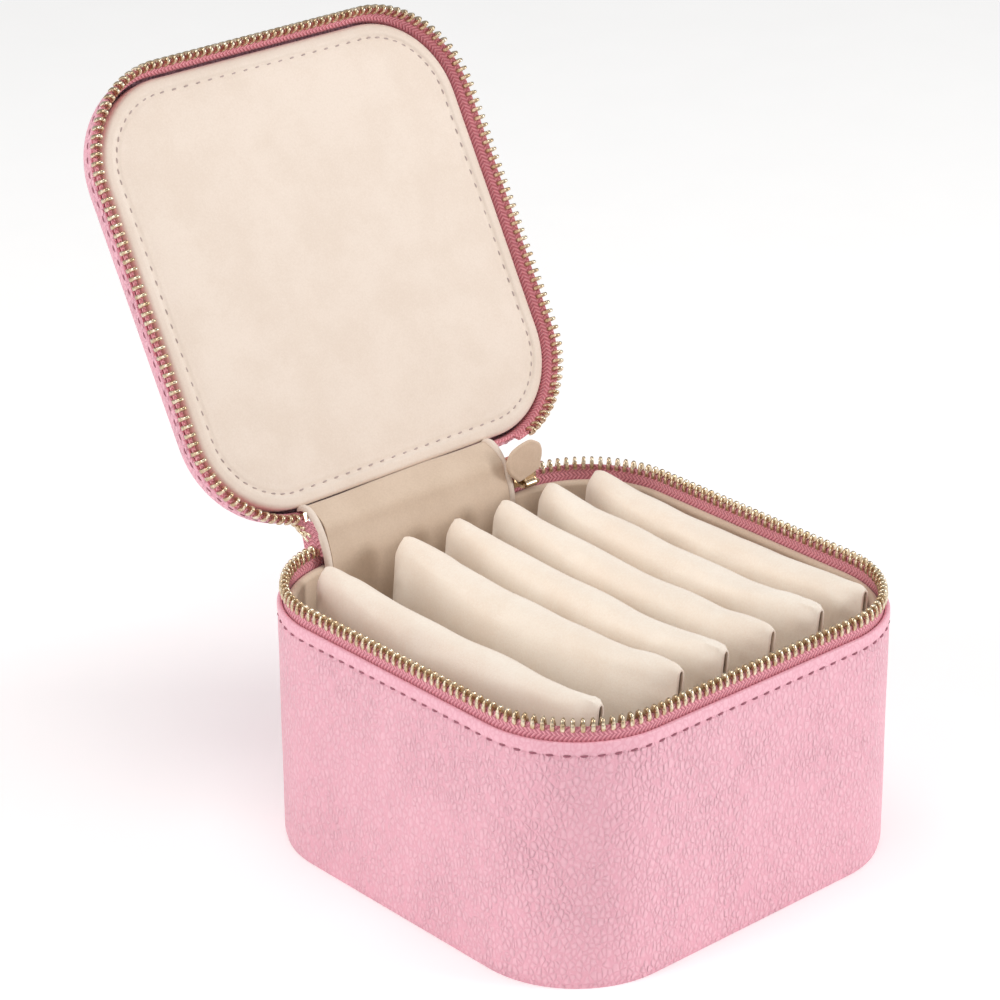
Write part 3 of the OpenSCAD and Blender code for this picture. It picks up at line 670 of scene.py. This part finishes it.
def lid_pad():
    """The lid's soft pad: rolled edge, a puffed border, a sunk stitch line and a faint crease."""
    edge = 1.5 * MM
    profile = [(PAD_INSET + 2.5 * MM, PAD_BACK_Z), (PAD_INSET + 0.2 * MM, PAD_BACK_Z - 0.2 * MM)]
    profile += [(PAD_INSET, PAD_BACK_Z - 1.6 * MM)]
    profile += arc(PAD_INSET + edge, PAD_Z + edge, edge, 180, 270, 7)
    line = PAD_STITCH_INSET
    profile += [(PAD_INSET + 2.4 * MM, PAD_Z - 0.1 * MM), (PAD_INSET + 3.4 * MM, PAD_Z - 0.05 * MM)]
    profile += [(line - 0.7 * MM, PAD_Z + 0.12 * MM), (line, PAD_Z + 0.42 * MM)]
    profile += [(line + 0.7 * MM, PAD_Z + 0.14 * MM)]
    profile += [(line + 1.4 * MM, PAD_Z), (line + 2.1 * MM, PAD_Z + 0.1 * MM), (line + 2.8 * MM, PAD_Z)]
    profile += [(line + k * 1.8 * MM, PAD_Z) for k in range(3, 10)]

    def height(p, k):
        if k < 3:
            return 0.0
        swell = 0.1 * MM * wave(p.x, p.y, 4, 5 * MM) + 0.22 * MM * wave(p.x, p.y, 6, 24 * MM)
        return swell * min(1.0, (k - 2) / 10)

    obj = dome("lid_pad_cushion", profile, height, True)
    obj.data.transform(OPENED)
    obj.data.flip_normals()
    finish_piece(obj, "lid", CREAM, "cream_suede", "lid_lining")
    return obj


def lid_stitches():
    template = stitch_template(1.9 * MM, 0.5 * MM, 0.1 * MM)
    sunk = LID_INSET + 0.1 * MM
    places = [OPENED @ rim_matrix(s, sunk, LID_STITCH_Z) for s in stitch_places()]
    hem = repeat("lid_hem_stitches", template, places)
    finish_piece(hem, "lid", MAUVE, "thread_mauve", "lid_stitching")
    template = stitch_template(1.5 * MM, 0.42 * MM, 0.1 * MM)
    face_down = Matrix.Rotation(math.radians(90), 4, "Y")
    skew = Matrix.Rotation(math.radians(7), 4, "X")
    level = PAD_Z + 0.34 * MM
    places = [OPENED @ rim_matrix(s, PAD_STITCH_INSET, level) @ face_down @ skew for s in stitch_places()]
    pad = repeat("lid_pad_stitches", template, places)
    return finish_piece(pad, "lid", PAD_THREAD, "thread_mauve", "lid_pad_stitching")


# ---- Hinge ----


def opened_yz(y, z):
    p = OPENED @ Vector((0, y, z))
    return Vector((p.y, p.z))


def bezier(a, b, c, d, steps):
    points = []
    for i in range(steps + 1):
        t = i / steps
        u = 1 - t
        points.append(u ** 3 * a + 3 * u * u * t * b + 3 * u * t * t * c + t ** 3 * d)
    return points


def cloth_strip(name, line, thick, x0, x1, swell, across=40, edge_roll=0.0):
    """A strip across the hinge along (y, z) points, which swells inwards by swell(t, x)."""
    n = len(line)
    points, uvs, length = [], [], [0.0]
    for a, b in zip(line, line[1:]):
        length.append(length[-1] + (b - a).length)
    for side in (0, 1):
        for j in range(across + 1):
            x = x0 + (x1 - x0) * j / across
            near_edge = min(x - x0, x1 - x)
            for i in range(n):
                a, b = line[max(i - 1, 0)], line[min(i + 1, n - 1)]
                d = (b - a).normalized()
                inward = Vector((-d.y, d.x))
                t = length[i] / length[-1]
                lift = thick * side + swell(t, x)
                if edge_roll:
                    lift = thick * side * math.sqrt(max(0.05, 1 - max(0, 1 - near_edge / edge_roll) ** 2))
                    lift += swell(t, x)
                p = line[i] + inward * lift
                points.append(Vector((x, p.x, p.y)))
                uvs.append((x, length[i]))
    faces = []
    rows = across + 1
    for j in range(across):
        for i in range(n - 1):
            a, b = j * n + i, (j + 1) * n + i
            faces.append((a, b, b + 1, a + 1))
            o = rows * n
            faces.append((o + a, o + a + 1, o + b + 1, o + b))
    o = rows * n
    for j in range(across):
        for i, flip in ((0, False), (n - 1, True)):
            a, b = j * n + i, (j + 1) * n + i
            face = (a, o + a, o + b, b)
            faces.append(face[::-1] if flip else face)
    for i in range(n - 1):
        for j, flip in ((0, True), (across, False)):
            a = j * n + i
            face = (a, o + a, o + a + 1, a + 1)
            faces.append(face[::-1] if flip else face)
    obj = make(name, points, faces, uvs, sharp=60)
    return obj, length[-1]


PANEL_T = 0.8 * MM
PANEL_Y = lining_low.y + PANEL_T
PANEL_LID_Y = HALF_D - PAD_INSET + 0.9 * MM
CURVE_PULL = 5 * MM


def hinge():
    start = Vector((0, PANEL_Y, HEM_Z))
    end_yz = opened_yz(PANEL_LID_Y, PAD_Z)
    end = Vector((0, end_yz.x, end_yz.y))
    inner = [Vector((PANEL_Y, HEM_Z - 20 * MM + k * 3 * MM)) for k in range(6)]
    inner += bezier(Vector((PANEL_Y, HEM_Z - 1 * MM)), Vector((PANEL_Y, HEM_Z + CURVE_PULL)),
                    opened_yz(PANEL_LID_Y, PAD_Z - CURVE_PULL), end_yz, 22)
    inner += [opened_yz(PANEL_LID_Y, PAD_Z + 1.2 * MM)]

    def panel_bulge(t, x):
        ridge = math.exp(-((t - 0.76) / 0.055) ** 2) * 0.75 * MM
        dip = -math.exp(-((t - 0.9) / 0.05) ** 2) * 0.45 * MM
        slack = 0.35 * MM * wave(x, t * 0.03, 8, 16 * MM) * smooth_step(t, 0.35, 0.7)
        drift = 1 + 0.25 * wave(x, 0, 12, 30 * MM)
        return (ridge + dip) * drift + float(slack)

    panel, length = cloth_strip("hinge_panel", inner, PANEL_T * 0.9, -HINGE_LEFT + BINDING_W / 2,
                                HINGE_RIGHT - BINDING_W / 2, panel_bulge)
    finish_piece(panel, None, BEIGE, "beige_suede", "hinge_lining")
    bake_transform(panel)

    for side, x in (("left", -HINGE_LEFT), ("right", HINGE_RIGHT)):
        strip, _ = cloth_strip(
            f"hinge_binding_fold_{side}", inner[4:], 1.35 * MM, x - BINDING_W / 2, x + BINDING_W / 2,
            lambda t, at: 0.1 * MM * wave(at, t * 0.03, 15, 6 * MM) - 0.1 * MM, across=10,
            edge_roll=BINDING_W * 0.42)
        finish_piece(strip, None, CREAM, "cream_suede", f"hinge_binding_{side}")
        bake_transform(strip)

    tape_y = HALF_D - ZIP_INSET + TAPE_T / 2
    lid_y = HALF_D - LID_TAPE_INSET
    hem = opened_yz(lid_y, LID_HEM_Z)
    outer = [Vector((tape_y, tape_low.z)), Vector((tape_y, tape_low.z + 5 * MM))]
    outer += bezier(Vector((tape_y, HEM_Z - 1 * MM)), Vector((tape_y, HEM_Z + CURVE_PULL)),
                    opened_yz(lid_y, LID_HEM_Z - CURVE_PULL), hem, 18)
    outer += [opened_yz(lid_y, LID_HEM_Z + 2.2 * MM)]

    def back_bulge(t, x):
        return 0.25 * MM * math.sin(t * 34) * smooth_step(t, 0.45, 0.6) * (1 - smooth_step(t, 0.8, 0.92))

    back, back_length = cloth_strip("hinge_back", outer, TAPE_T, -HINGE_LEFT + 0.1 * MM,
                                    HINGE_RIGHT - 0.1 * MM, back_bulge)
    finish_piece(back, None, LID_LEATHER, "pink_leather", "hinge_leather")
    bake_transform(back)
    return start, end


def zip_corner(start, end):
    """Where the two rows meet at the hinge's left end: a bent piece of tape with its last teeth."""
    low = on_rim(HINGE_LEFT + 1.1 * MM, ZIP_INSET, TOOTH_Z)
    high = OPENED @ on_rim(HINGE_LEFT + 2.3 * MM, ZIP_INSET, 2 * ZIP_MID - TOOTH_Z)
    apex = Vector((-HINGE_LEFT - 0.9 * MM, (low.y + high.y) / 2 - 1.6 * MM, (low.z + high.z) / 2 - 0.8 * MM))
    path = [low.lerp(apex, t / 4) for t in range(4)] + [apex.lerp(high, t / 6) for t in range(7)]
    width, half = 7 * MM, TAPE_T * 0.45
    inner_edge, outer_edge = Vector((0.9 * MM, -3.6 * MM, 0)), Vector((-1.2 * MM, 3.4 * MM, 0.4 * MM))
    points, uvs = [], []
    steps = 6
    for side in (-half, half):
        run = 0.0
        for k, p in enumerate(path):
            run += (p - path[k - 1]).length if k else 0.0
            for m in range(steps + 1):
                t = m / steps
                sag = 0.35 * MM * math.sin(math.pi * t)
                points.append(p + inner_edge.lerp(outer_edge, t) + Vector((side - sag, 0, 0)))
                uvs.append((run, t * width))
    n, count, faces = steps + 1, len(path), []
    for k in range(count - 1):
        for m in range(steps):
            a, b, o = k * n + m, (k + 1) * n + m, count * n
            faces.append((a, b, b + 1, a + 1))
            faces.append((o + a, o + a + 1, o + b + 1, o + b))
    border = [k * n for k in range(count)] + [(count - 1) * n + m for m in range(1, n)]
    border += [k * n + steps for k in range(count - 2, -1, -1)] + list(range(steps - 1, 0, -1))
    for a, b in zip(border, border[1:] + border[:1]):
        faces.append((a, a + count * n, b + count * n, b))
    gusset = make("zip_corner_tape", points, faces, uvs, sharp=60)
    finish_piece(gusset, None, TAPE, "tape_pink")
    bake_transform(gusset)
    beside = Vector((-0.9 * MM, 0.6 * MM, 0.2 * MM))
    turn = Matrix.Rotation(math.radians(100), 4, "Z")
    places = []
    for t in (0.05, 0.4, 0.75, 1.0):
        fan = Matrix.Rotation(math.radians(58 + 50 * t), 4, "Y")
        places.append(Matrix.Translation(apex.lerp(high, t) + beside) @ turn @ fan)
    row = repeat("zip_corner_teeth", TOOTH, places)
    finish_piece(row, None, GOLD, "gold_metal")
    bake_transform(row)


# ---- Slider and pull ----


def pull_tab():
    """Soft shield-shaped tab, crowned towards its middle, with a pressed edge line."""
    swing = next(j for j in frame["joints"] if j["name"] == "pull_swing")
    foot, height, wide, narrow, thick = 1.25 * MM, 9.8 * MM, 13 * MM, 9 * MM, 1.2 * MM
    top = foot + height
    side = [(narrow * 0.42, foot), (narrow / 2, foot + height * 0.1), (wide / 2, foot + height * 0.45),
            (wide / 2, foot + height * 0.74), (wide * 0.3, top), (0, top + 0.4 * MM)]
    corners = side + [(-x, z) for x, z in side[-2::-1]]
    for _ in range(2):  # rounds the outline by cutting each corner twice
        cut = []
        for a, b in zip(corners, corners[1:] + corners[:1]):
            cut.append((a[0] * 0.8 + b[0] * 0.2, a[1] * 0.8 + b[1] * 0.2))
            cut.append((a[0] * 0.2 + b[0] * 0.8, a[1] * 0.2 + b[1] * 0.8))
        corners = cut
    edge = []
    for i, a in enumerate(corners):
        b = corners[(i + 1) % len(corners)]
        cuts = max(1, round(math.dist(a, b) / (1.0 * MM)))
        edge += [(a[0] + (b[0] - a[0]) * k / cuts, a[1] + (b[1] - a[1]) * k / cuts) for k in range(cuts)]
    centre = (0.0, foot + height * 0.52)
    # How far out from the centre, and half the thickness there, as shares
    shape = [(0.12, 0.50), (0.45, 0.56), (0.72, 0.50), (0.80, 0.42), (0.88, 0.50), (0.96, 0.44), (1.0, 0.22)]
    rings = []
    for side in (1, -1):
        for share, half in (shape if side == 1 else shape[::-1]):
            ring = []
            for x, z in edge:
                px, pz = centre[0] + (x - centre[0]) * share, centre[1] + (z - centre[1]) * share
                ring.append(Vector((px, side * half * thick + 0.12 * MM * wave(px, pz, 21, 5 * MM), pz)))
            rings.append(ring)
    points, faces = bridge(rings)
    obj = make("pull_tab_suede", points, faces, sharp=60)
    tilt, outwards = math.radians(14), math.radians(-3)
    lean = Matrix.Rotation(outwards, 4, "X") @ Matrix.Rotation(-tilt, 4, "Y")
    bar = Vector(swing["pos_m"])
    lift = Vector((0, 0, narrow / 2 * math.sin(tilt)))
    obj.data.transform(Matrix.Translation(bar + lift) @ lean)
    finish_piece(obj, "pull", TAB_SUEDE, "cream_suede", "pull_tab")
    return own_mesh(obj)


def metal_nodes():
    """CAD metal with its right shape: rounded a little at its edges."""
    for node in ("slider_body", "slider_bail", "pull_link", "base_end_stop", "lid_end_stop"):
        obj = frame["nodes"][node]
        modify(obj, "BEVEL", width=0.18 * MM, segments=2, limit_method="ANGLE", angle_limit=math.radians(40))


# ---- Pouches ----

LEAN = math.radians(5)
SEAM = 1.15 * MM
ALONG, UP = 54, 26
POUCHES = 6
# How far the soft ends reach past the CAD pouch; the last one has the case's corner behind it
PAST_FRONT, PAST_BACK, PAST_CORNER = 1.8 * MM, 2.8 * MM, 0.2 * MM
# The flap's outside over the bag's top, and how far it hangs down, as shares of the way
FLAP_OVER = 0.9 * MM
FLAP_LEFT, FLAP_RIGHT = 0.62, 0.52
# How far each soft ridge has settled to the right, at its front and at its far end
DRIFT = {1: (1.2 * MM, -0.4 * MM), 2: (2.2 * MM, 0.8 * MM), 3: (1.6 * MM, 2.3 * MM),
         4: (2.3 * MM, 3.0 * MM), 5: (2.8 * MM, 3.0 * MM), 6: (3.6 * MM, 1.4 * MM)}


def bulge(t, power=2.0):
    """From 0 at both ends to 1 in the middle, like a stuffed seam."""
    return max(0.0, 1 - abs(2 * t - 1) ** power) ** 0.8


class Pouch:
    """One soft pouch: its outer form is a grid of rows along Y and columns over the ridge."""

    def __init__(self, number):
        self.number = number
        low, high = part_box(f"pouch_{number}_bag")
        self.y0 = low.y - PAST_FRONT
        self.y1 = high.y + (PAST_CORNER if number == POUCHES else PAST_BACK)
        self.z0 = low.z
        self.height = (high.z + FLAP_OVER - low.z) / math.cos(LEAN)
        self.drift = DRIFT[number]
        self.foot_x = (low.x + high.x) / 2 - self.height / 2 * math.sin(LEAN)
        self.half = (high.x - low.x) / 2 + 0.3 * MM
        self.up = Vector((math.sin(LEAN), 0, math.cos(LEAN)))
        self.side = Vector((math.cos(LEAN), 0, -math.sin(LEAN)))
        self.columns = 2 * UP + 1
        self.grid = [[self.place(i / ALONG, j) for j in range(self.columns)] for i in range(ALONG + 1)]

    def ridge(self, t):
        """Height of the ridge from the front (0) to the far end (1)."""
        y = t * (self.y1 - self.y0)
        top = self.height - 1.0 * MM * (1 - t) - 1.0 * MM * math.sin(math.pi * t) ** 2
        top += 0.7 * MM * wave(y, 0, 30 + self.number, 19 * MM) * bulge(t, 6)
        far, front = self.y1 - self.y0 - y, y
        far_r, front_r = 5.5 * MM, 1.4 * MM
        if far < far_r:
            top -= far_r - math.sqrt(max(0.0, far_r ** 2 - (far_r - far) ** 2))
        if front < front_r:
            top -= 0.6 * (front_r - math.sqrt(max(0.0, front_r ** 2 - (front_r - front) ** 2)))
        return top

    def place(self, t, j):
        seed = self.number
        side = -1 if j < UP else 1 if j > UP else 0
        rise = 1 - abs(j - UP) / UP
        rise = 1 - (1 - rise) ** 1.35
        ridge = self.ridge(t)
        h = ridge * rise
        y = self.y0 + t * (self.y1 - self.y0)
        body = SEAM + (self.half - SEAM) * bulge(h / self.height * 0.96 + 0.02) ** 0.9 * bulge(t, 2.6)
        fold = 1.5 * MM
        if ridge - h < fold:
            body = min(body, math.sqrt(max(0.0, fold ** 2 - (fold - (ridge - h)) ** 2)) / fold * body + 1e-5)
        front, far = self.drift
        lean = front + (far - front) * t + 1.0 * MM * wave(y, h * 0.6, 40 + seed, 30 * MM)
        sway = lean * float(smooth_step(h, 12 * MM, 66 * MM))
        dent = 0.9 * MM * wave(y, h, 50 + seed + 9 * side, 16 * MM) * bulge(t, 6)
        x = side * (body + dent * (side != 0)) + sway
        return Vector((self.foot_x, y, self.z0)) + self.side * x + self.up * h

    def faces(self):
        """Quads over the grid, then over its two ends and its foot."""
        n, quads = self.columns, []
        for i in range(ALONG):
            for j in range(n - 1):
                a, b = i * n + j, (i + 1) * n + j
                quads.append((a, a + 1, b + 1, b))
        o = ALONG * n
        for j in range(UP):
            m = n - 1 - j
            if j + 1 < UP:
                quads.append((j, m, m - 1, j + 1))
                quads.append((o + j, o + j + 1, o + m - 1, o + m))
            else:
                quads.append((j, m, j + 1))
                quads.append((o + j, o + j + 1, o + m))
        for i in range(ALONG):
            a, b = i * n, (i + 1) * n
            quads.append((a, b, b + n - 1, a + n - 1))
        return quads

    def puff(self):
        """Inflates the form as sewn cloth: seams held, pressure inside, gravity off."""
        flat = [p for row in self.grid for p in row]
        scale, last_frame = 5.0, 20
        obj = make("puff", [p * scale for p in flat], self.faces())
        group = obj.vertex_groups.new(name="seam")
        n = self.columns
        held = [k for k in range(len(flat)) if k // n in (0, ALONG) or k % n in (0, n - 1)]
        group.add(held, 1.0, "REPLACE")
        cloth = obj.modifiers.new("cloth", "CLOTH")
        settings = cloth.settings
        settings.quality = 5
        settings.mass = 0.25
        settings.tension_stiffness = 8
        settings.compression_stiffness = 8
        settings.bending_stiffness = 0.8
        settings.use_pressure = True
        settings.uniform_pressure_force = 2.5
        settings.shrink_min = -0.025
        settings.effector_weights.gravity = 0
        settings.vertex_group_mass = "seam"
        cloth.collision_settings.use_collision = False
        scene = bpy.context.scene
        cloth.point_cache.frame_start, cloth.point_cache.frame_end = 1, last_frame + 2
        for number in range(1, last_frame + 1):
            scene.frame_set(number)
        evaluated = obj.evaluated_get(bpy.context.evaluated_depsgraph_get())
        moved = [v.co / scale for v in evaluated.data.vertices]
        scene.frame_set(1)
        bpy.data.objects.remove(obj)
        cap = 1.3 * MM
        for k, (old, new) in enumerate(zip(flat, moved)):
            shift = new - old
            if shift.length > cap:
                shift *= cap / shift.length
            self.grid[k // n][k % n] = old + shift

    def normals(self):
        """Outward directions of the grid."""
        points = np.array([[tuple(p) for p in row] for row in self.grid])
        along = np.gradient(points, axis=0)
        across = np.gradient(points, axis=1)
        out = np.cross(along, across)
        out /= np.maximum(np.linalg.norm(out, axis=2, keepdims=True), 1e-9)
        middle = out[ALONG // 2, UP // 2]
        return points, out if middle[0] < 0 else -out

    def build(self):
        self.puff()
        points, out = self.normals()
        body = f"pouch_{self.number}"
        flap_t = 0.75 * MM

        inner = points - out * (flap_t + 0.06 * MM)
        share = np.linspace(0, 1, ALONG + 1)[:, None]
        front, far = self.y0 + 0.7 * MM, self.y1 - 0.9 * MM
        inner[:, :, 1] = front + (far - front) * share
        inner[:, UP, 2] -= 0.4 * MM
        bag = make(f"{body}_bag_cloth", inner.reshape(-1, 3), self.faces())
        modify(bag, "SUBSURF", levels=1, render_levels=1)
        finish_piece(bag, body, POUCH, "cream_suede", f"{body}_bag")

        first, last = UP - int(UP * FLAP_LEFT), UP + int(UP * FLAP_RIGHT)
        rows = ALONG + 1
        outer = points[:, first:last + 1]
        under = outer - out[:, first:last + 1] * flap_t
        under[:, :, 1] = outer[:, :, 1]
        wide = last - first + 1
        shell = np.concatenate([outer.reshape(-1, 3), under.reshape(-1, 3)])
        quads = []
        o = rows * wide
        for i in range(ALONG):
            for j in range(wide - 1):
                a, b = i * wide + j, (i + 1) * wide + j
                quads.append((a, a + 1, b + 1, b))
                quads.append((o + a, o + b, o + b + 1, o + a + 1))
        for i in range(ALONG):
            a, b = i * wide, (i + 1) * wide
            quads.append((a, b, o + b, o + a))
            quads.append((a + wide - 1, o + a + wide - 1, o + b + wide - 1, b + wide - 1))
        for j in range(wide - 1):
            quads.append((j, o + j, o + j + 1, j + 1))
            a = ALONG * wide + j
            quads.append((a, a + 1, o + a + 1, o + a))
        flap = make(f"{body}_flap_cloth", shell, quads, sharp=70)
        modify(flap, "BEVEL", width=0.22 * MM, segments=2, limit_method="ANGLE", angle_limit=math.radians(50))
        modify(flap, "SUBSURF", levels=1, render_levels=1)
        finish_piece(flap, body, POUCH, "cream_suede", f"{body}_flap")

        self.snap(points, out, body, first)

    def snap(self, points, out, body, first):
        i, j = ALONG // 2, first + 4
        at, facing = Vector(points[i, j]), Vector(out[i, j])
        shape = [(0.0, 0.95), (1.2, 0.9), (1.9, 0.7), (2.1, 0.45),
                 (2.3, 0.5), (2.7, 0.5), (2.95, 0.3), (3.0, -0.3)]
        count = 28
        rings = []
        for r, h in shape:
            radius = max(r, 0.05) * MM
            rings.append([Vector((radius * math.cos(a), radius * math.sin(a), h * MM))
                          for a in [2 * math.pi * k / count for k in range(count)]])
        p, f = bridge(rings)
        cap = make(f"{body}_snap_cap", p, f, sharp=60)
        cap.data.transform(Matrix.Translation(at) @ facing.to_track_quat("Z", "Y").to_matrix().to_4x4())
        finish_piece(cap, body, GOLD, "gold_metal", f"{body}_snap")


# ---- Build everything ----

base_leather()
base_stitching()
base_tape()
base_teeth()
lid_leather()
lid_pad()
lid_stitches()
lid_tape()
lid_teeth()
zip_corner(*hinge())
pull_tab()
metal_nodes()
for number in range(1, POUCHES + 1):
    Pouch(number).build()

SHOWN = {
    "base_bottom_leather": LID_LEATHER, "base_bottom_board": BOARD, "base_wall_board": BOARD,
    "base_wall_lining": BEIGE, "base_floor_foam": FOAM, "base_floor_lining": BEIGE,
    "lid_board": BOARD, "lid_foam": FOAM, "slider_body": GOLD, "slider_bail": GOLD,
    "pull_link": GOLD, "base_end_stop": GOLD, "lid_end_stop": GOLD,
}
for node, material in SHOWN.items():
    mesh = frame["nodes"][node].data
    mesh.materials.clear()
    mesh.materials.append(material)

# ---- Floor, light and camera ----

FLOOR = 12.0  # metres from its middle to each edge


def floor():
    corners = [(-FLOOR, -FLOOR, 0), (FLOOR, -FLOOR, 0), (FLOOR, FLOOR, 0), (-FLOOR, FLOOR, 0)]
    obj = make("floor", corners, [(0, 1, 2, 3)])
    m = Material("floor_finish")
    speck = m.noise(m.place(), 30 * MM, 2.0)
    colour = m.mix(speck, (0.93, 0.93, 0.93, 1), (0.96, 0.96, 0.96, 1))
    obj.data.materials.append(m.surface(Base_Color=colour, Roughness=0.85, Specular_IOR_Level=0.2,
                                        Emission_Color=(1, 1, 1, 1), Emission_Strength=0.22))


def area_light(name, place, target, size, power, tint=(1, 1, 1)):
    light = bpy.data.lights.new(name, "AREA")
    light.shape = "SQUARE"
    light.size = size
    light.energy = power
    light.color = tint
    obj = bpy.data.objects.new(name, light)
    bpy.context.scene.collection.objects.link(obj)
    obj.location = place
    obj.rotation_mode = "QUATERNION"
    obj.rotation_quaternion = (Vector(target) - Vector(place)).to_track_quat("-Z", "Y")


def studio():
    world = bpy.data.worlds.new("studio")
    world.use_nodes = True
    background = world.node_tree.nodes["Background"]
    background.inputs["Color"].default_value = (1.0, 0.995, 0.99, 1)
    background.inputs["Strength"].default_value = 0.43
    bpy.context.scene.world = world
    middle = (0, 0.02, 0.06)
    area_light("left_box", (-1.25, 0.35, 0.65), middle, 0.6, 7.0, (1.0, 0.985, 0.97))
    area_light("right_box", (1.0, -1.2, 0.6), middle, 0.6, 11.5)
    area_light("top_box", (-0.1, -0.1, 1.5), middle, 0.8, 6.0, (1.0, 0.99, 0.975))
    view = bpy.context.scene.view_settings
    view.view_transform = "Standard"
    view.look = "None"


def camera():
    """Looks at the case from its front left, a little above."""
    azimuth, elevation, roll = (math.radians(a) for a in (-41.705, 24.521, -0.418))
    target, distance = Vector((31.53, 67.29, 64.77)) * MM, 1.0072
    back = Vector((math.sin(azimuth) * math.cos(elevation), -math.cos(azimuth) * math.cos(elevation),
                   math.sin(elevation)))
    level = Vector((math.cos(azimuth), math.sin(azimuth), 0))
    above = back.cross(level)
    right = math.cos(roll) * level + math.sin(roll) * above
    up = math.cos(roll) * above - math.sin(roll) * level
    matrix = Matrix((right, up, back)).transposed().to_4x4()
    matrix.translation = target + back * distance
    data = bpy.data.cameras.new("camera")
    data.sensor_width = 36
    data.lens = 130.45
    obj = bpy.data.objects.new("camera", data)
    bpy.context.scene.collection.objects.link(obj)
    obj.matrix_world = matrix
    bpy.context.scene.camera = obj


floor()
studio()
camera()
